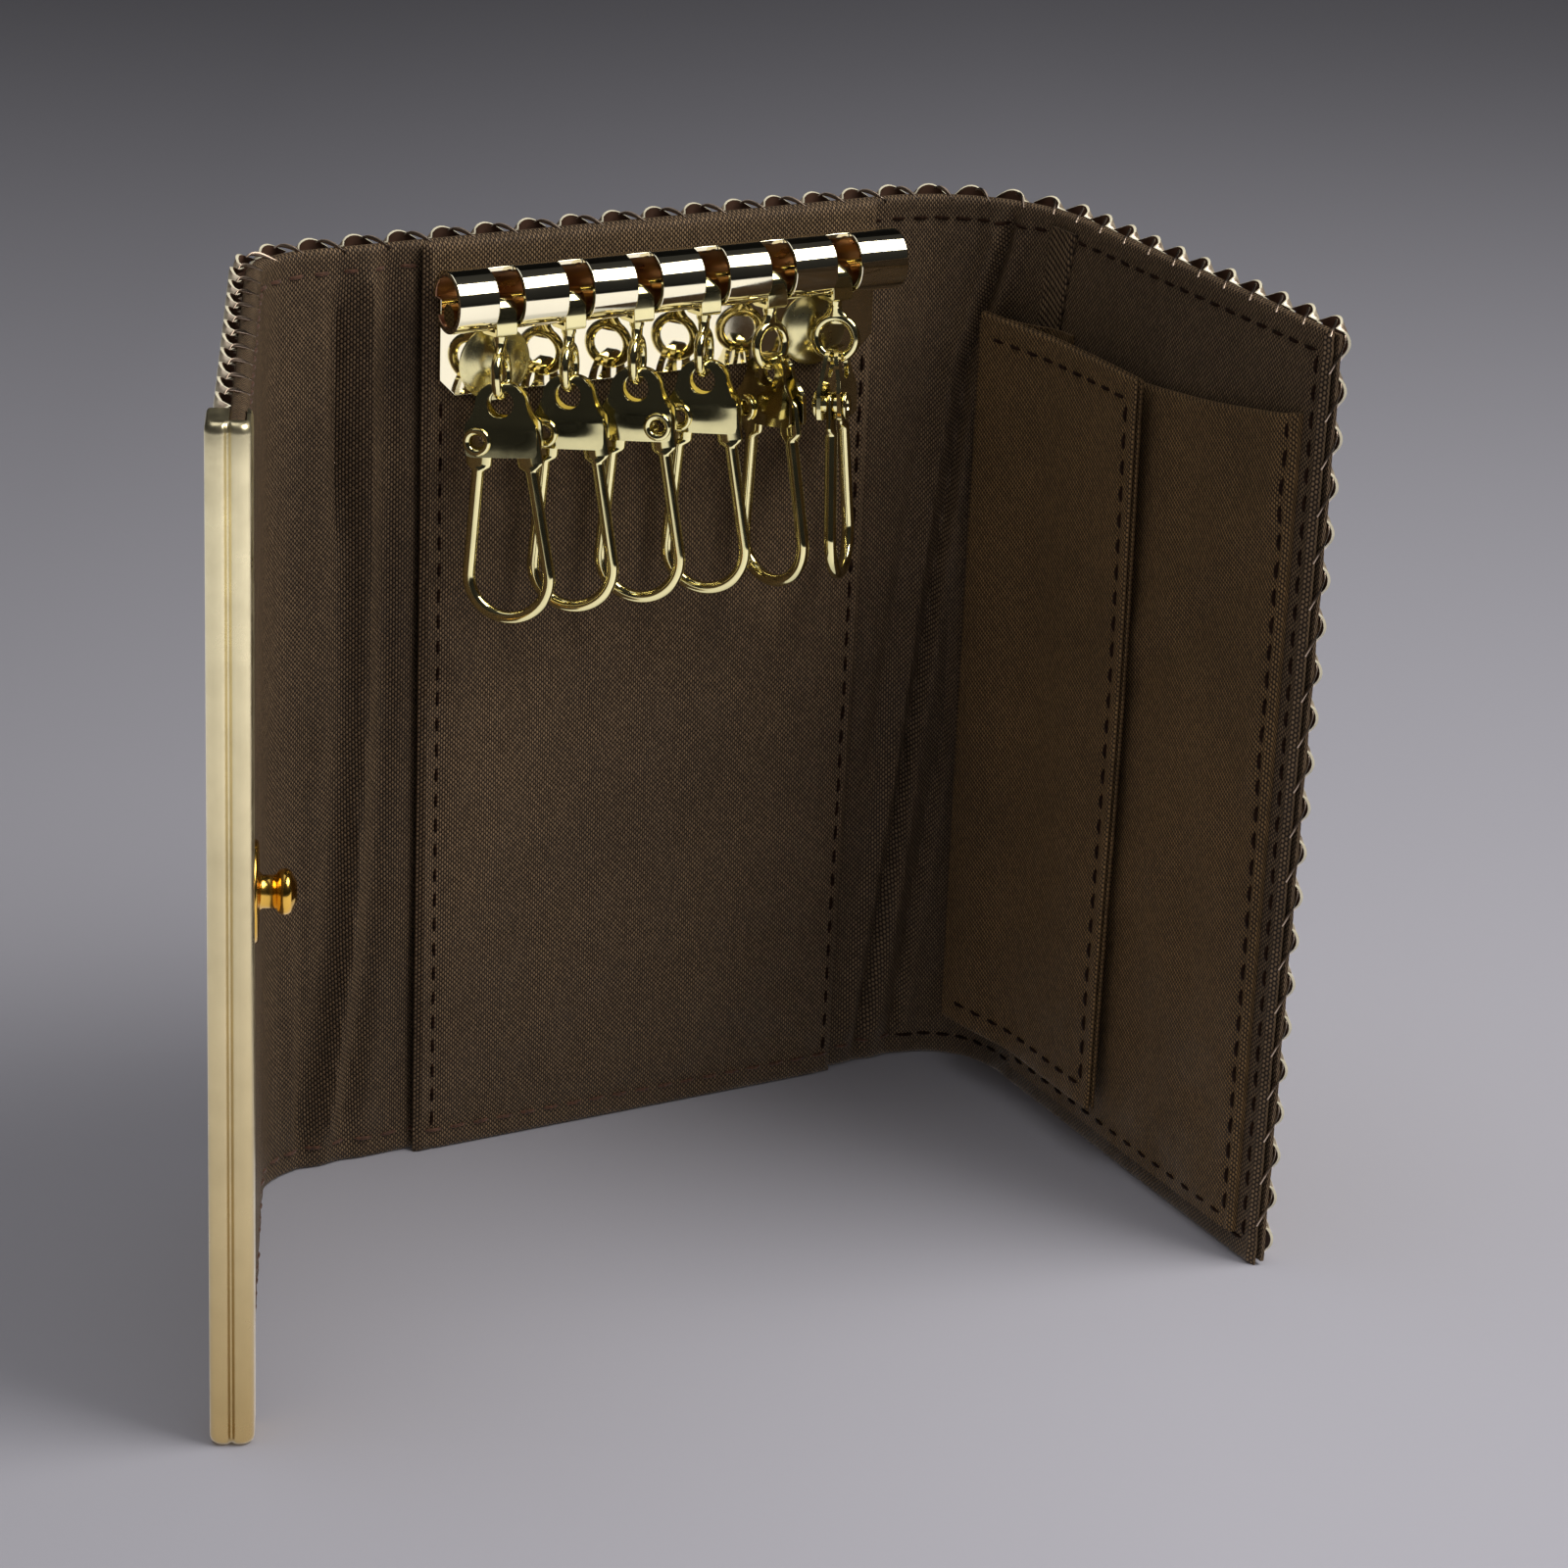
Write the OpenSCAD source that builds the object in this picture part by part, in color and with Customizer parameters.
// Tri-fold key case that stands half open, with a six-hook key plate, a snap and a slip pocket.
// The centre panel faces -Y and stands on the plane z = 0.
// The origin is at the middle of the key patch's lower face, which rests on the floor.

/* [Case] */
// Height of the panels
case_h = 100; // [85:1:120]
// From the middle of the case to the left fold line
left_fold = 30; // [29.8:0.1:31]
// From the middle of the case to the right fold line
right_fold = 27.6; // [27.6:0.1:29]
// Thickness of the lining cloth
lining_t = 0.4; // [0.3:0.05:0.5]
// Thickness of the stiffening boards and of the lining's soft filling
board_t = 1.2; // [1:0.1:1.5]
// Thickness of the plated mesh skin
mesh_t = 1.6; // [1.3:0.1:2]
// Pitch of the mesh plates
mesh_pitch = 4.8; // [4.2:0.1:5.4]
// Height of the mesh above the lining's top hem
mesh_rise = 0.8; // [0.4:0.1:1.2]
// How far the boards stay inside the hems
hem = 1.4; // [1:0.1:2]
// Gap on each side of a fold line
fold_gap = 0.25; // [0.2:0.05:0.4]

/* [Left flap] */
// From the middle of the case to the left corner
left_corner = 42.3; // [41:0.1:44]
// Angle that the left flap is folded by
left_turn = 65.6; // [55:0.1:75]
// Radius of the left fold
left_r = 8; // [6:0.5:10]
// From the left corner to the free edge
left_reach = 57.7; // [54:0.1:60]

/* [Right flap] */
// From the middle of the case to the right corner
right_corner = 43.4; // [42.5:0.1:44.5]
// Angle that the right flap is folded by
right_turn = 91.5; // [88:0.1:95]
// Radius of the right fold
right_r = 11; // [10:0.25:12]
// From the right corner to the free edge
right_reach = 61.3; // [58:0.1:64]
// Angle along the right fold at which its second fold line lies
right_hinge_turn = 42.4; // [38:0.2:46]

/* [Clasp bar and snap] */
// Depth of the clasp bar over the flap's edge
bar_depth = 5; // [4:0.1:6]
// Thickness of the clasp bar
bar_t = 4.2; // [4:0.1:4.8]
// Solid metal of the bar beyond the flap's edge
bar_nose = 1.2; // [0.8:0.1:1.6]
// Radius of the clasp bar's corners
bar_r = 0.7; // [0.4:0.1:0.9]
// From the bar's free edge to the snap
snap_inset = 15.8; // [14:0.1:18]
// Diameter of the stud's flange
stud_flange_d = 9.8; // [8:0.1:11]
// Thickness of the stud's flange
stud_flange_t = 0.6; // [0.4:0.1:0.8]
// Diameter of the stud's head
stud_head_d = 4.4; // [4:0.1:4.8]
// Diameter of the stud's post
stud_post_d = 3.2; // [2.8:0.1:3.4]
// Height of the stud above the lining
stud_h = 4.2; // [3.8:0.1:4.3]
// Diameter of the snap's rivet shanks
shank_d = 2; // [1.6:0.1:2.4]
// Diameter of the socket's flange
socket_flange_d = 11; // [9:0.1:12]
// Height of the socket above the mesh
socket_rise = 1.2; // [1:0.1:1.6]
// Wall of the socket's cup
socket_wall = 0.8; // [0.6:0.1:1]
// Diameter of the hidden rivet washers
washer_d = 6.4; // [5.6:0.1:7.2]
// Thickness of the hidden rivet washers
washer_t = 0.5; // [0.3:0.1:0.6]

/* [Key patch and key plate] */
// Width of the padded key patch
patch_w = 51.2; // [48:0.1:53]
// Thickness of the padded key patch
patch_t = 1.3; // [1:0.1:1.6]
// Offset of the key plate from the middle of the case
plate_x = 1.4; // [0:0.1:1.4]
// Offset of the hooks and rivets from the middle of the case
hooks_x = 0.8; // [0:0.1:1.2]
// Length of the key plate's tube
plate_w = 51.6; // [50:0.1:51.6]
// Sheet thickness of the key plate
plate_t = 0.55; // [0.4:0.05:0.7]
// Outer diameter of the plate's curled tube
tube_d = 6.4; // [6:0.1:7]
// From the case's top edge down to the tube's axis
tube_below = 5.2; // [4.8:0.1:8]
// From the tube's axis down to the plate's lower edge
plate_drop = 10.6; // [9:0.1:12]
// Chamfer of the plate's lower corners
plate_chamfer = 1.8; // [1:0.1:3]
// How much shorter the flat plate is than the tube, at each end
plate_inset = 0.6; // [0.4:0.1:1]
// Width of the slots in the tube
slot_w = 2.8; // [2.6:0.1:3]
// Distance between hooks
hook_pitch = 7.75; // [7.7:0.05:8.5]
// Distance between the two plate rivets
rivet_span = 37; // [34:0.5:40]
// Height of the plate rivets below the tube's axis
rivet_drop = 7.5; // [6.5:0.1:8]
// Diameter of the rivets' domed heads
dome_d = 7.8; // [6:0.1:8]
// Height of the rivets' domed heads
dome_h = 1.2; // [1:0.05:1.3]

/* [Key hooks] */
// Diameter of the rod in the tube
rod_d = 2.4; // [2:0.1:2.6]
// Thickness of the hook straps
strap_t = 0.5; // [0.4:0.05:0.6]
// Width of the hook straps
strap_w = 2.3; // [2:0.1:2.4]
// Running clearance of pins in holes, on the radius
run_gap = 0.05; // [0.03:0.01:0.08]
// Diameter of the swivel pin
pin_d = 0.9; // [0.8:0.05:1]
// Outer diameter of the eye
eye_d = 5.3; // [5:0.1:5.6]
// Wire thickness of the eye
eye_wire = 1.04; // [0.9:0.02:1.1]
// From the rod's axis down to the middle of the eye
eye_drop = 6.4; // [6:0.1:7]
// Width of the folded cap
cap_w = 7.5; // [7.3:0.1:7.7]
// Height of the folded cap
cap_h = 7.6; // [7:0.1:8.4]
// Height of the cap's straight lower band
band_h = 3.2; // [2.8:0.1:3.6]
// Sheet thickness of the cap
cap_t = 0.45; // [0.35:0.05:0.5]
// Depth of the cap at its lower band
cap_depth = 2.6; // [2.5:0.1:3]
// Depth of the cap at its folded top
cap_top_depth = 1.4; // [1.3:0.05:1.5]
// Diameter of the hole at the cap's top
cap_hole_d = 2.78; // [2.6:0.02:3]
// Metal above the hole in the cap
cap_crown = 0.81; // [0.7:0.01:0.9]
// Play of the eye in the cap's hole
eye_play = 0.12; // [0.1:0.02:0.2]
// Outer diameter of the hollow rivet's barrel
eyelet_d = 1.8; // [1.7:0.05:1.9]
// Bore of the hollow rivet
eyelet_bore = 1.3; // [1.1:0.05:1.4]
// Diameter of the hollow rivet's flanges
eyelet_flange_d = 2.8; // [2.4:0.1:3]
// Thickness of the hollow rivet's flanges
eyelet_flange_t = 0.25; // [0.2:0.05:0.3]
// Diameter of the loop's wire
wire_d = 1.3; // [1.1:0.05:1.4]
// Outer width of the wire loop
loop_w = 9.7; // [9.4:0.1:10]
// Reach of the wire loop below its cap
loop_reach = 17.4; // [15:0.1:19]
// Thickness of the loop's flattened ends
tab_t = 1; // [0.8:0.05:1.1]
// Width of the loop's flattened ends
tab_w = 2.7; // [2.4:0.1:2.8]
// How far each hook leans off the panel, from the left
hook_leans = [7, 5, 5, 5, 6.2, 7];
// How far each hook is turned about its neck, from the left
hook_turns = [-41, -41, -41, -43, -72, -133];
// Which leg of each loop carries the hollow rivet, -1 for the left one
rivet_legs = [-1, -1, 1, -1, -1, 1];

/* [Pocket] */
// Thickness of the pocket's front
pocket_t = 0.5; // [0.4:0.05:0.7]
// Room inside the slip pocket
pocket_room = 0.4; // [0.3:0.05:0.6]
// Width of the pocket's seams
seam_w = 2; // [1.5:0.1:3]
// From the case's top edge down to the pocket's mouth at its left end
mouth_below = 14; // [12:0.5:40]
// Rise of the mouth towards the free edge
mouth_rise = 5; // [0:0.1:6]
// Width of the pocket's narrow flap
strip_w = 28.3; // [20:0.1:30]
// From the case's top edge down to the narrow flap's upper edge
strip_below = 12; // [11:0.5:30]
// Height of the narrow flap's lower edge
strip_z = 6.5; // [4:0.5:12]
// Thickness of the narrow flap
strip_t = 1.2; // [0.8:0.1:1.2]
// Distance of the narrow flap from the lining
strip_off = 2.2; // [2.2:0.1:2.6]
// From the right corner to the narrow flap's left edge
strip_start = 5.4; // [5.4:0.1:9]
// Radius of the narrow flap's free corners
strip_r = 3; // [1:0.5:6]

/* [Hidden] */
$fn = 48;
hook_count = len(hook_turns);
// Steps that a fold's arc is drawn in
arc_steps = 12;
// Steps across one mesh plate
plate_steps = 6;
panel_t = lining_t + board_t + mesh_t;
core_t = lining_t + board_t;
// Overrun of every cut
cut = panel_t / 4;
mesh_back_share = 0.35;
mesh_back = core_t + mesh_t * mesh_back_share;
notch_share = 0.24;
notch_r = mesh_pitch * notch_share;
// The patch is centred on the origin, and the lining lies behind it.
lining_y = patch_t / 2;

// A side of the case is [corner, radius, turn, reach, fold], seen with its flap on +X.
left_side = [left_corner, left_r, left_turn, left_reach, left_fold];
right_side = [right_corner, right_r, right_turn, right_reach, right_fold];

function rad(a) = a * PI / 180;
function arc_back(d) = d[1] * tan(d[2] / 2);
function arc_start(d) = d[0] - arc_back(d);
function arc_end(d) = arc_start(d) + d[1] * rad(d[2]);
function side_end(d) = arc_end(d) + d[3] - arc_back(d);
function heading(d, s) = min(max((s - arc_start(d)) / d[1] * 180 / PI, 0), d[2]);

// A point of the section, at length s along the lining and height h outwards from it.
function at(d, s, h) =
  let (a = heading(d, s), u = max(s - arc_end(d), 0))
  [
    min(s, arc_start(d)) + (d[1] + h) * sin(a) + u * cos(d[2]),
    lining_y - d[1] * (1 - cos(a)) + h * cos(a) - u * sin(d[2])
  ];

// Lengths at which the section has points between two lengths, with every step of the arc.
function stops(d, s0, s1) = concat(
  [s0],
  [for (i = [0:arc_steps])
    let (s = arc_start(d) + (arc_end(d) - arc_start(d)) * i / arc_steps)
    if (s > s0 && s < s1) s],
  [s1]
);

// Fold lines: the first is where the centre panel ends, the second where the flap begins.
right_s2 = arc_start(right_side) + right_r * rad(right_hinge_turn);
right_2 = at(right_side, right_s2, 0);
right_chord = norm(right_2 - [right_fold, lining_y]);
right_lift = right_r * (1 - cos(right_turn - right_hinge_turn));
// Folded in, the left flap lies over the snap socket of the right flap.
snap_seat_gap = 3 * fold_gap / 2;
left_chord = right_chord + right_lift + panel_t + socket_rise + snap_seat_gap + stud_flange_t;
left_t1 = left_corner - left_fold;
left_t2 = sqrt(pow(left_chord, 2) - pow(left_t1 * sin(left_turn), 2)) - left_t1 * cos(left_turn);
left_s2 = arc_end(left_side) + left_t2 - arc_back(left_side);
left_2 = at(left_side, left_s2, 0);
left_rise = atan2(lining_y - left_2[1], left_2[0] - left_fold);
right_rise = atan2(lining_y - right_2[1], right_2[0] - right_fold);

snap_z = case_h / 2;
snap_s = side_end(left_side) - snap_inset;
// The socket meets the stud when both flaps are folded right in.
closed_x = snap_s - left_s2 - left_fold;
right_reach_in = right_r * sin(right_turn - right_hinge_turn);
socket_s = arc_end(right_side) + right_fold - closed_x - right_reach_in;
socket_bore = stud_head_d + 6 * run_gap;
socket_d = socket_bore + 2 * socket_wall;

plate_y = -patch_t / 2;
tube_r = tube_d / 2;
bore_r = tube_r - plate_t;
tube_y = plate_y - tube_r;
tube_z = case_h - tube_below;
mouth_z = case_h - mouth_below;
strip_h = case_h - strip_below - strip_z;
rivet_z = tube_z - rivet_drop;
rod_r = rod_d / 2;
rod_seat = run_gap / 2;
rod_z = tube_z - bore_r + rod_r + rod_seat;
rod_trim = plate_inset / 2;
strap_in = rod_r + run_gap;
strap_r = strap_in + strap_t;
head_d = 2 * strap_in * 0.7;
head_t = strap_t;
floor_z = -rod_r - 2 * run_gap - head_t - 2 * run_gap;
neck_top = floor_z - strap_t - run_gap;
collar_d = 1.7 * pin_d;
collar_t = strap_t;
neck_d = 1.15 * pin_d;
eye_r = (eye_d - eye_wire) / 2;
hole_r = cap_hole_d / 2;
hole_z = eye_wire / 2 + eye_play - eye_drop - eye_r - hole_r;
crown_r = hole_r + cap_crown;
cap_base = hole_z + crown_r - cap_h;
wire_r = wire_d / 2;
tab_r = tab_w / 2;
leg_x = cap_w / 2 - tab_r;
leg_z = cap_base + band_h / 2;
// The bend is drawn a little thicker than the legs, so that they end inside it.
bend_share = 1.03;
bend_wire = wire_d * bend_share;
bend_r = (loop_w - bend_wire) / 2;
bend_z = cap_base - loop_reach + bend_wire / 2 + bend_r;
leg_len = sqrt(pow(leg_z - bend_z, 2) + pow(leg_x, 2) - pow(bend_r, 2));
leg_splay = atan2(bend_r, leg_len) - atan2(leg_x, leg_z - bend_z);

module lining_colour() {
  color([0.24, 0.2, 0.15]) children();
}

module mesh_colour() {
  color([0.88, 0.84, 0.74]) children();
}

module board_colour() {
  color([0.6, 0.55, 0.46]) children();
}

module gold() {
  color([0.83, 0.7, 0.4]) children();
}

module steel() {
  color([0.72, 0.72, 0.74]) children();
}

// Rounded rectangle from corner a to corner b.
module round_rect(a, b, r) {
  translate([a[0] + r, a[1]]) square([b[0] - a[0] - 2 * r, b[1] - a[1]]);
  translate([a[0], a[1] + r]) square([b[0] - a[0], b[1] - a[1] - 2 * r]);
  for (x = [a[0] + r, b[0] - r], y = [a[1] + r, b[1] - r]) translate([x, y]) circle(r);
}

// Section of one layer, from length s0 to s1 and from height h0 to h1.
module layer(d, s0, s1, h0, h1) {
  list = stops(d, s0, s1);
  n = len(list) - 1;
  polygon(concat(
    [for (s = list) at(d, s, h0)],
    [for (i = [n:-1:0]) at(d, list[i], h1)]
  ));
}

function columns(s0, s1) = max(round((s1 - s0) / mesh_pitch), 1);
function rib_rise(k) = mesh_back + (panel_t - mesh_back) * sqrt(max(sin(180 * (k % plate_steps) / plate_steps), 0));

// Section of the mesh: a thin back with one rounded rib for each column of plates.
module mesh_section(d, s0, s1) {
  n = columns(s0, s1) * plate_steps;
  polygon(concat(
    [for (s = stops(d, s0, s1)) at(d, s, core_t)],
    [for (k = [n:-1:0]) at(d, s0 + (s1 - s0) * k / n, rib_rise(k))]
  ));
}

// Keeps what lies beyond a line through p that is tilted from +Y, on its +X or its -X side.
module beyond(p, tilt, way) {
  size = case_h;
  translate(p) rotate(-tilt)
    translate([way > 0 ? fold_gap : -fold_gap - size, -size])
    square([size, 2 * size]);
}

module left_half() {
  mirror([1, 0, 0]) children();
}

// Places children on a side, with +Z outwards from the lining.
module on_side(d, s, z) {
  p = at(d, s, 0);
  translate([p[0], p[1], z]) rotate([-90, 0, -heading(d, s)]) children();
}

// Places children on a flap, with +X along it, +Y outwards and +Z up.
module along(d, s) {
  p = at(d, s, 0);
  translate([p[0], p[1], 0]) rotate([0, 0, -heading(d, s)]) children();
}

// Cutters for a row of notches between the plates, along the top and the bottom edge.
module notches(d, s0, s1) {
  n = columns(s0, s1);
  for (c = [1:n - 1], z = [0, case_h + mesh_rise])
    on_side(d, s0 + (s1 - s0) * c / n, z) translate([0, 0, core_t - cut])
      cylinder(r = notch_r, h = mesh_t + 2 * cut, $fn = 8);
}

// Hole through a flap, for a rivet at length s.
module flap_hole(d, s, diameter) {
  on_side(d, s, snap_z) translate([0, 0, -panel_t]) cylinder(d = diameter, h = 3 * panel_t);
}

// Places children at both plate rivets, with +Z forwards from the lining.
module centre_rivets() {
  for (k = [-1, 1])
    translate([hooks_x + k * rivet_span / 2, lining_y, rivet_z]) rotate([90, 0, 0]) children();
}

module rivet_holes() {
  centre_rivets() cylinder(d = shank_d + 2 * run_gap, h = 4 * panel_t, center = true);
}

module key_patch() {
  lining_colour() difference() {
    translate([-patch_w / 2, plate_y, 0]) cube([patch_w, patch_t, case_h]);
    rivet_holes();
  }
}

module lining_centre() {
  x0 = -left_fold + fold_gap;
  x1 = right_fold - fold_gap;
  lining_colour() difference() {
    translate([x0, lining_y, 0]) cube([x1 - x0, lining_t, case_h]);
    rivet_holes();
  }
}

module board_centre() {
  x0 = -left_fold + hem;
  x1 = right_fold - hem;
  board_colour() difference() {
    translate([x0, lining_y + lining_t, hem]) cube([x1 - x0, board_t, case_h - 2 * hem]);
    rivet_holes();
    centre_rivets() translate([0, 0, -core_t - cut])
      cylinder(d = washer_d + 2 * run_gap, h = washer_t + cut);
  }
}

module mesh_centre() {
  x0 = -left_fold + fold_gap;
  x1 = right_fold - fold_gap;
  n = columns(x0, x1);
  m = n * plate_steps;
  mesh_colour() difference() {
    translate([0, lining_y, 0]) linear_extrude(case_h + mesh_rise) polygon(concat(
      [[x0, core_t], [x1, core_t]],
      [for (k = [m:-1:0]) [x0 + (x1 - x0) * k / m, rib_rise(k)]]
    ));
    for (c = [1:n - 1], z = [0, case_h + mesh_rise])
      translate([x0 + (x1 - x0) * c / n, lining_y + core_t - cut, z]) rotate([-90, 0, 0])
        cylinder(r = notch_r, h = mesh_t + 2 * cut, $fn = 8);
  }
}

// Section of the key plate's tube: a sheet curled over forwards and under the rod.
module tube_section() {
  lip_angle = 40;
  difference() {
    circle(tube_r);
    circle(bore_r);
    polygon([[0, 0], [tube_d, 0], [tube_d, -tube_d * tan(lip_angle)]]);
  }
}

function hook_x(i) = hooks_x + (i - (hook_count - 1) / 2) * hook_pitch;

module key_plate() {
  flat_w = plate_w - 2 * plate_inset;
  low = tube_z - plate_drop;
  gold() difference() {
    union() {
      translate([plate_x - plate_w / 2, tube_y, tube_z]) rotate([90, 0, 90])
        linear_extrude(plate_w) tube_section();
      translate([plate_x - flat_w / 2, plate_y, low]) rotate([90, 0, 0]) linear_extrude(plate_t)
        polygon([
          [plate_chamfer, 0], [flat_w - plate_chamfer, 0], [flat_w, plate_chamfer],
          [flat_w, plate_drop], [0, plate_drop], [0, plate_chamfer]
        ]);
    }
    for (i = [0:hook_count - 1]) translate([hook_x(i) - slot_w / 2, tube_y, tube_z]) {
      translate([0, -tube_r - cut, -tube_r - cut]) cube([slot_w, tube_r + cut, tube_d + 2 * cut]);
      translate([0, -cut, -tube_r - cut]) cube([slot_w, bore_r + cut, tube_r + cut]);
    }
    rivet_holes();
  }
}

module hook_rod() {
  gold() translate([plate_x - plate_w / 2 + rod_trim, tube_y, rod_z]) rotate([0, 90, 0])
    cylinder(r = rod_r, h = plate_w - 2 * rod_trim);
}

// Two rivets with low domed heads, peened over washers behind the board.
module plate_rivets() {
  ball_r = (pow(dome_d / 2, 2) + pow(dome_h, 2)) / (2 * dome_h);
  gold() centre_rivets() translate([0, 0, patch_t + plate_t]) {
    intersection() {
      translate([0, 0, dome_h - ball_r]) sphere(ball_r);
      cylinder(d = dome_d, h = dome_h);
    }
    translate([0, 0, -patch_t - plate_t - core_t])
      cylinder(d = shank_d, h = patch_t + plate_t + core_t + dome_h / 2);
  }
}

module washer_ring() {
  difference() {
    cylinder(d = washer_d, h = washer_t);
    translate([0, 0, -cut]) cylinder(d = shank_d + 2 * run_gap, h = washer_t + 2 * cut);
  }
}

module rivet_washers() {
  steel() centre_rivets() translate([0, 0, -core_t]) washer_ring();
}

// The soft strip between two fold lines, cut back so that the case opens flat.
module spine_cut(d, s2, rise) {
  intersection() {
    children();
    beyond([d[4], lining_y], rise, 1);
    beyond(at(d, s2, 0), heading(d, s2) - (d[2] - rise) / 2, -1);
  }
}

module flap_cut(d, s2, rise) {
  intersection() {
    children();
    beyond(at(d, s2, 0), heading(d, s2) + (d[2] - rise) / 2, 1);
  }
}

module spine_lining(d, s2, rise) {
  lining_colour() linear_extrude(case_h)
    spine_cut(d, s2, rise) layer(d, d[4], s2, 0, core_t);
}

module spine_mesh(d, s2, rise) {
  s0 = d[4] + panel_t * tan(rise);
  s1 = s2 - panel_t * tan((d[2] - rise) / 2);
  mesh_colour() difference() {
    linear_extrude(case_h + mesh_rise) spine_cut(d, s2, rise) mesh_section(d, s0, s1);
    notches(d, s0, s1);
  }
}

module lining_spine_left() {
  left_half() spine_lining(left_side, left_s2, left_rise);
}

module mesh_spine_left() {
  left_half() spine_mesh(left_side, left_s2, left_rise);
}

module lining_spine_right() {
  spine_lining(right_side, right_s2, right_rise);
}

module mesh_spine_right() {
  spine_mesh(right_side, right_s2, right_rise);
}

// The left flap's cloth and board stop inside the clasp bar.
left_edge = side_end(left_side) - bar_nose;

module lining_left() {
  left_half() lining_colour() difference() {
    linear_extrude(case_h) flap_cut(left_side, left_s2, left_rise)
      layer(left_side, left_s2, left_edge, 0, lining_t);
    flap_hole(left_side, snap_s, shank_d + 2 * run_gap);
  }
}

module board_left() {
  s0 = left_s2 + hem + core_t;
  left_half() board_colour() difference() {
    translate([0, 0, hem]) linear_extrude(case_h - 2 * hem)
      layer(left_side, s0, left_edge, lining_t, core_t);
    flap_hole(left_side, snap_s, shank_d + 2 * run_gap);
    on_side(left_side, snap_s, snap_z) translate([0, 0, core_t - washer_t])
      cylinder(d = washer_d + 2 * run_gap, h = washer_t + cut);
  }
}

module mesh_left() {
  s0 = left_s2 + panel_t * tan((left_turn - left_rise) / 2);
  s1 = side_end(left_side) - bar_depth;
  left_half() mesh_colour() difference() {
    linear_extrude(case_h + mesh_rise)
      flap_cut(left_side, left_s2, left_rise) mesh_section(left_side, s0, s1);
    notches(left_side, s0, s1);
  }
}

// A round-cornered channel pressed over the flap's lining and board.
module clasp_bar() {
  lip = (bar_t - panel_t) / 2;
  left_half() gold() along(left_side, side_end(left_side)) linear_extrude(case_h)
    difference() {
      round_rect([-bar_depth, -lip], [0, panel_t + lip], bar_r);
      translate([-bar_depth - cut, 0]) square([bar_depth + cut - bar_nose, core_t]);
    }
}

// A flanged post with a beaded head, drawn with +Z away from the lining.
module snap_stud() {
  flare = (stud_head_d - stud_post_d) / 2;
  bead_z = stud_h - flare;
  left_half() gold() on_side(left_side, snap_s, snap_z) rotate([180, 0, 0]) {
    rotate_extrude() difference() {
      union() {
        square([stud_flange_d / 2, stud_flange_t]);
        square([stud_post_d / 2, stud_h]);
        translate([stud_post_d / 2, bead_z]) circle(flare);
        translate([stud_post_d / 2, bead_z - flare]) circle(flare);
        translate([0, bead_z - flare]) square([stud_head_d / 2, flare]);
      }
      translate([0, stud_h + flare]) circle(stud_post_d / 3);
    }
    translate([0, 0, -core_t]) cylinder(d = shank_d, h = core_t + stud_flange_t / 2);
  }
}

module stud_washer() {
  left_half() steel() on_side(left_side, snap_s, snap_z)
    translate([0, 0, core_t - washer_t]) washer_ring();
}

module lining_right() {
  lining_colour() difference() {
    linear_extrude(case_h) flap_cut(right_side, right_s2, right_rise) {
      layer(right_side, right_s2, side_end(right_side), 0, lining_t);
      layer(right_side, right_s2, arc_end(right_side), 0, core_t);
    }
    flap_hole(right_side, socket_s, shank_d + 2 * run_gap);
  }
}

module board_right() {
  s0 = arc_end(right_side) + fold_gap;
  board_colour() difference() {
    translate([0, 0, hem]) linear_extrude(case_h - 2 * hem)
      layer(right_side, s0, side_end(right_side) - hem, lining_t, core_t);
    flap_hole(right_side, socket_s, socket_d + 2 * run_gap);
  }
}

module mesh_right() {
  s0 = right_s2 + panel_t * tan((right_turn - right_rise) / 2);
  s1 = side_end(right_side);
  mesh_colour() difference() {
    linear_extrude(case_h + mesh_rise)
      flap_cut(right_side, right_s2, right_rise) mesh_section(right_side, s0, s1);
    notches(right_side, s0, s1);
    flap_hole(right_side, socket_s, socket_d + 2 * run_gap);
  }
}

// A flanged cup sunk through the mesh and the board, open outwards.
module snap_socket() {
  round_r = socket_rise / 2;
  gold() on_side(right_side, socket_s, snap_z) rotate_extrude() difference() {
    union() {
      translate([0, lining_t]) square([socket_d / 2, panel_t + socket_rise - lining_t]);
      translate([0, panel_t]) square([socket_flange_d / 2 - round_r, socket_rise]);
      translate([0, panel_t]) square([socket_flange_d / 2, round_r]);
      translate([socket_flange_d / 2 - round_r, panel_t + round_r]) circle(round_r);
    }
    translate([0, lining_t + washer_t]) square([socket_bore / 2, panel_t + socket_rise]);
  }
}

// A rivet cap on the lining's inner face, hidden in the slip pocket.
module socket_washer() {
  t = pocket_room - run_gap;
  steel() on_side(right_side, socket_s, snap_z) translate([0, 0, -t]) {
    cylinder(d = washer_d, h = t);
    cylinder(d = shank_d, h = t + lining_t);
  }
}

// The pocket's front stands off the lining on a seam along three sides.
module pocket_front() {
  w = right_reach - arc_back(right_side) - 3 * hem;
  steps = 8;
  lining_colour() along(right_side, arc_end(right_side) + hem) difference() {
    rotate([90, 0, 0]) linear_extrude(pocket_t + pocket_room) polygon(concat(
      [[0, 2 * hem], [w, 2 * hem]],
      [for (k = [steps:-1:0]) [w * k / steps, mouth_z + mouth_rise * pow(k / steps, 2)]]
    ));
    translate([seam_w, -pocket_room, 2 * hem + seam_w])
      cube([w - 2 * seam_w, pocket_room + cut, case_h]);
  }
}

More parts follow.
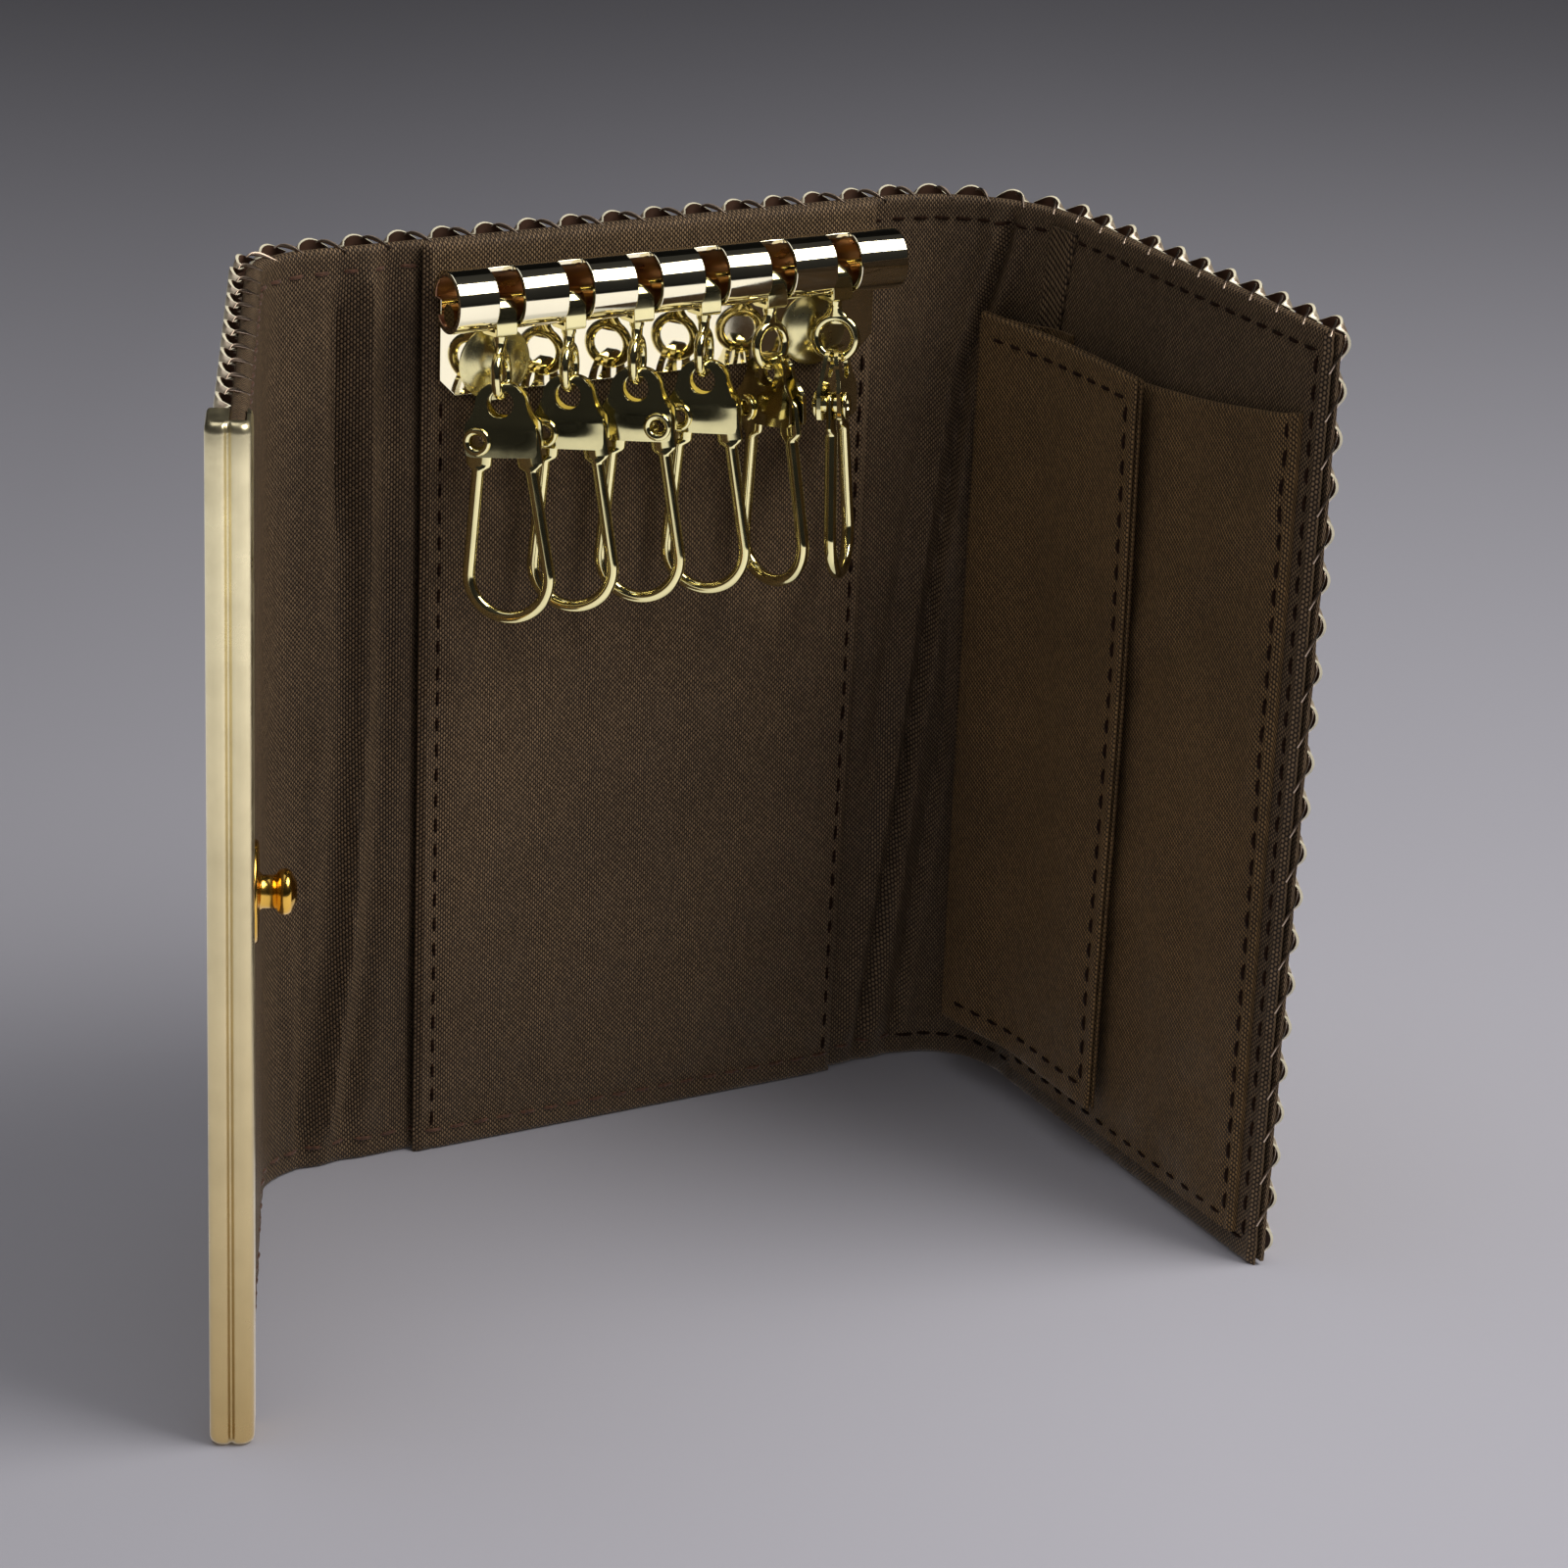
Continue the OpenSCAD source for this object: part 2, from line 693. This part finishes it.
// A narrow flap that hangs in front of the pocket from its left edge.
module pocket_flap() {
  z1 = strip_z + strip_h;
  t0 = strip_start - arc_back(right_side);
  lining_colour() along(right_side, arc_end(right_side))
    translate([t0, -strip_off, 0]) rotate([90, 0, 0]) linear_extrude(strip_t) {
      translate([0, strip_z]) square([strip_w - strip_r, strip_h]);
      translate([0, strip_z + strip_r]) square([strip_w, strip_h - 2 * strip_r]);
      for (z = [strip_z + strip_r, z1 - strip_r]) translate([strip_w - strip_r, z]) circle(strip_r);
    }
}

// Places children on a hook's rod point, leaning off the panel, with +Z up.
module hook_lean(i) {
  translate([hook_x(i), tube_y, rod_z]) rotate([-hook_leans[i], 0, 0]) children();
}

// The same, turned about the neck so that +X runs across the hook's cap.
module hook_turn(i) {
  hook_lean(i) rotate([0, 0, hook_turns[i]]) children();
}

// A strap bent over the rod, with a floor that carries the swivel pin.
module hook_saddle(i) {
  gold() hook_lean(i) difference() {
    translate([-strap_w / 2, 0, 0]) rotate([90, 0, 90]) linear_extrude(strap_w) difference() {
      union() {
        circle(strap_r);
        translate([-strap_r, floor_z - strap_t]) square([2 * strap_r, strap_t - floor_z]);
      }
      circle(strap_in);
      translate([-strap_in, floor_z]) square([2 * strap_in, -floor_z]);
    }
    translate([0, 0, floor_z - strap_t - cut]) cylinder(d = pin_d + 2 * run_gap, h = strap_t + 2 * cut);
  }
}

// A headed swivel pin that ends in a ring.
module hook_eye(i) {
  gold() hook_turn(i) {
    translate([0, 0, floor_z + run_gap]) cylinder(d = head_d, h = head_t);
    translate([0, 0, neck_top - collar_t / 2]) cylinder(d = pin_d, h = floor_z + head_t - neck_top);
    translate([0, 0, neck_top - collar_t]) cylinder(d = collar_d, h = collar_t);
    translate([0, 0, eye_r - eye_drop]) cylinder(d = neck_d, h = neck_top - collar_t / 2 - eye_r + eye_drop);
    translate([0, 0, -eye_drop]) rotate([0, 90, 0]) rotate_extrude()
      translate([eye_r, 0]) circle(d = eye_wire);
  }
}

// Front outline of the cap: a straight band, and sides that close to a round crown.
module cap_outline() {
  half = cap_w / 2;
  band_z = cap_base + band_h;
  d = norm([half, hole_z - band_z]);
  a = acos(crown_r / d) - atan2(hole_z - band_z, half);
  translate([0, hole_z]) circle(crown_r);
  polygon([
    [-half, cap_base], [half, cap_base], [half, band_z],
    [crown_r * cos(a), hole_z + crown_r * sin(a)],
    [-crown_r * cos(a), hole_z + crown_r * sin(a)],
    [-half, band_z]
  ]);
}

// Side section of the cap: one sheet folded over at the top.
module cap_section(inset) {
  half = cap_depth / 2 - inset;
  top = cap_top_depth / 2;
  z1 = cap_base + band_h;
  z2 = hole_z + crown_r - top;
  polygon([
    [-half, cap_base - inset * cut], [half, cap_base - inset * cut], [half, z1],
    [top - inset, z2], [-top + inset, z2], [-half, z1]
  ]);
  translate([0, z2]) circle(top - inset);
}

module hook_cap(i) {
  gold() hook_turn(i) difference() {
    intersection() {
      translate([-cap_w, 0, 0]) rotate([90, 0, 90]) linear_extrude(2 * cap_w) cap_section(0);
      rotate([90, 0, 0]) linear_extrude(2 * cap_depth, center = true) cap_outline();
    }
    translate([-2 * cap_w, 0, 0]) rotate([90, 0, 90]) linear_extrude(4 * cap_w) cap_section(cap_t);
    translate([0, 0, hole_z]) rotate([90, 0, 0])
      cylinder(r = hole_r, h = 2 * cap_depth, center = true);
    translate([rivet_legs[i] * leg_x, 0, leg_z]) rotate([90, 0, 0])
      cylinder(d = eyelet_d + 2 * run_gap, h = 2 * cap_depth, center = true);
  }
}

// A hollow rivet through both sides of the cap, with a rolled flange on each.
module hook_rivet(i) {
  h = cap_depth + 2 * eyelet_flange_t;
  gold() hook_turn(i) translate([rivet_legs[i] * leg_x, 0, leg_z]) rotate([90, 0, 0])
    difference() {
      union() {
        cylinder(d = eyelet_d, h = h, center = true);
        for (k = [0, 1]) mirror([0, 0, k]) translate([0, 0, cap_depth / 2])
          cylinder(d = eyelet_flange_d, h = eyelet_flange_t);
      }
      cylinder(d = eyelet_bore, h = 2 * h, center = true);
    }
}

// A wire loop whose ends are pressed flat to go between the sides of the cap.
module hook_loop(i) {
  gold() hook_turn(i) difference() {
    union() {
      for (k = [0, 1]) mirror([k, 0, 0]) translate([leg_x, 0, leg_z]) {
        rotate([90, 0, 0]) cylinder(r = tab_r, h = tab_t, center = true);
        rotate([0, 180 - leg_splay, 0]) translate([0, 0, tab_r / 2])
          cylinder(d = wire_d, h = leg_len + wire_r / 2 - tab_r / 2);
      }
      translate([0, 0, bend_z]) rotate([90, 0, 0]) rotate([0, 0, 180 - leg_splay])
        rotate_extrude(angle = 180 + 2 * leg_splay) translate([bend_r, 0]) circle(d = bend_wire);
    }
    translate([rivet_legs[i] * leg_x, 0, leg_z]) rotate([90, 0, 0])
      cylinder(d = eyelet_d + 2 * run_gap, h = 2 * tab_w, center = true);
    translate([-cap_w, tab_t / 2, cap_base]) cube([2 * cap_w, tab_w, cap_h]);
    translate([-cap_w, -tab_w - tab_t / 2, cap_base]) cube([2 * cap_w, tab_w, cap_h]);
  }
}

key_patch();
lining_centre();
board_centre();
mesh_centre();
key_plate();
hook_rod();
plate_rivets();
rivet_washers();
lining_spine_left();
mesh_spine_left();
lining_left();
board_left();
mesh_left();
clasp_bar();
snap_stud();
stud_washer();
lining_spine_right();
mesh_spine_right();
lining_right();
board_right();
mesh_right();
snap_socket();
socket_washer();
pocket_front();
pocket_flap();
hook_saddle(0);  // hook_saddle_1
hook_saddle(1);  // hook_saddle_2
hook_saddle(2);  // hook_saddle_3
hook_saddle(3);  // hook_saddle_4
hook_saddle(4);  // hook_saddle_5
hook_saddle(5);  // hook_saddle_6
hook_eye(0);  // hook_eye_1
hook_eye(1);  // hook_eye_2
hook_eye(2);  // hook_eye_3
hook_eye(3);  // hook_eye_4
hook_eye(4);  // hook_eye_5
hook_eye(5);  // hook_eye_6
hook_cap(0);  // hook_cap_1
hook_cap(1);  // hook_cap_2
hook_cap(2);  // hook_cap_3
hook_cap(3);  // hook_cap_4
hook_cap(4);  // hook_cap_5
hook_cap(5);  // hook_cap_6
hook_rivet(0);  // hook_rivet_1
hook_rivet(1);  // hook_rivet_2
hook_rivet(2);  // hook_rivet_3
hook_rivet(3);  // hook_rivet_4
hook_rivet(4);  // hook_rivet_5
hook_rivet(5);  // hook_rivet_6
hook_loop(0);  // hook_loop_1
hook_loop(1);  // hook_loop_2
hook_loop(2);  // hook_loop_3
hook_loop(3);  // hook_loop_4
hook_loop(4);  // hook_loop_5
hook_loop(5);  // hook_loop_6
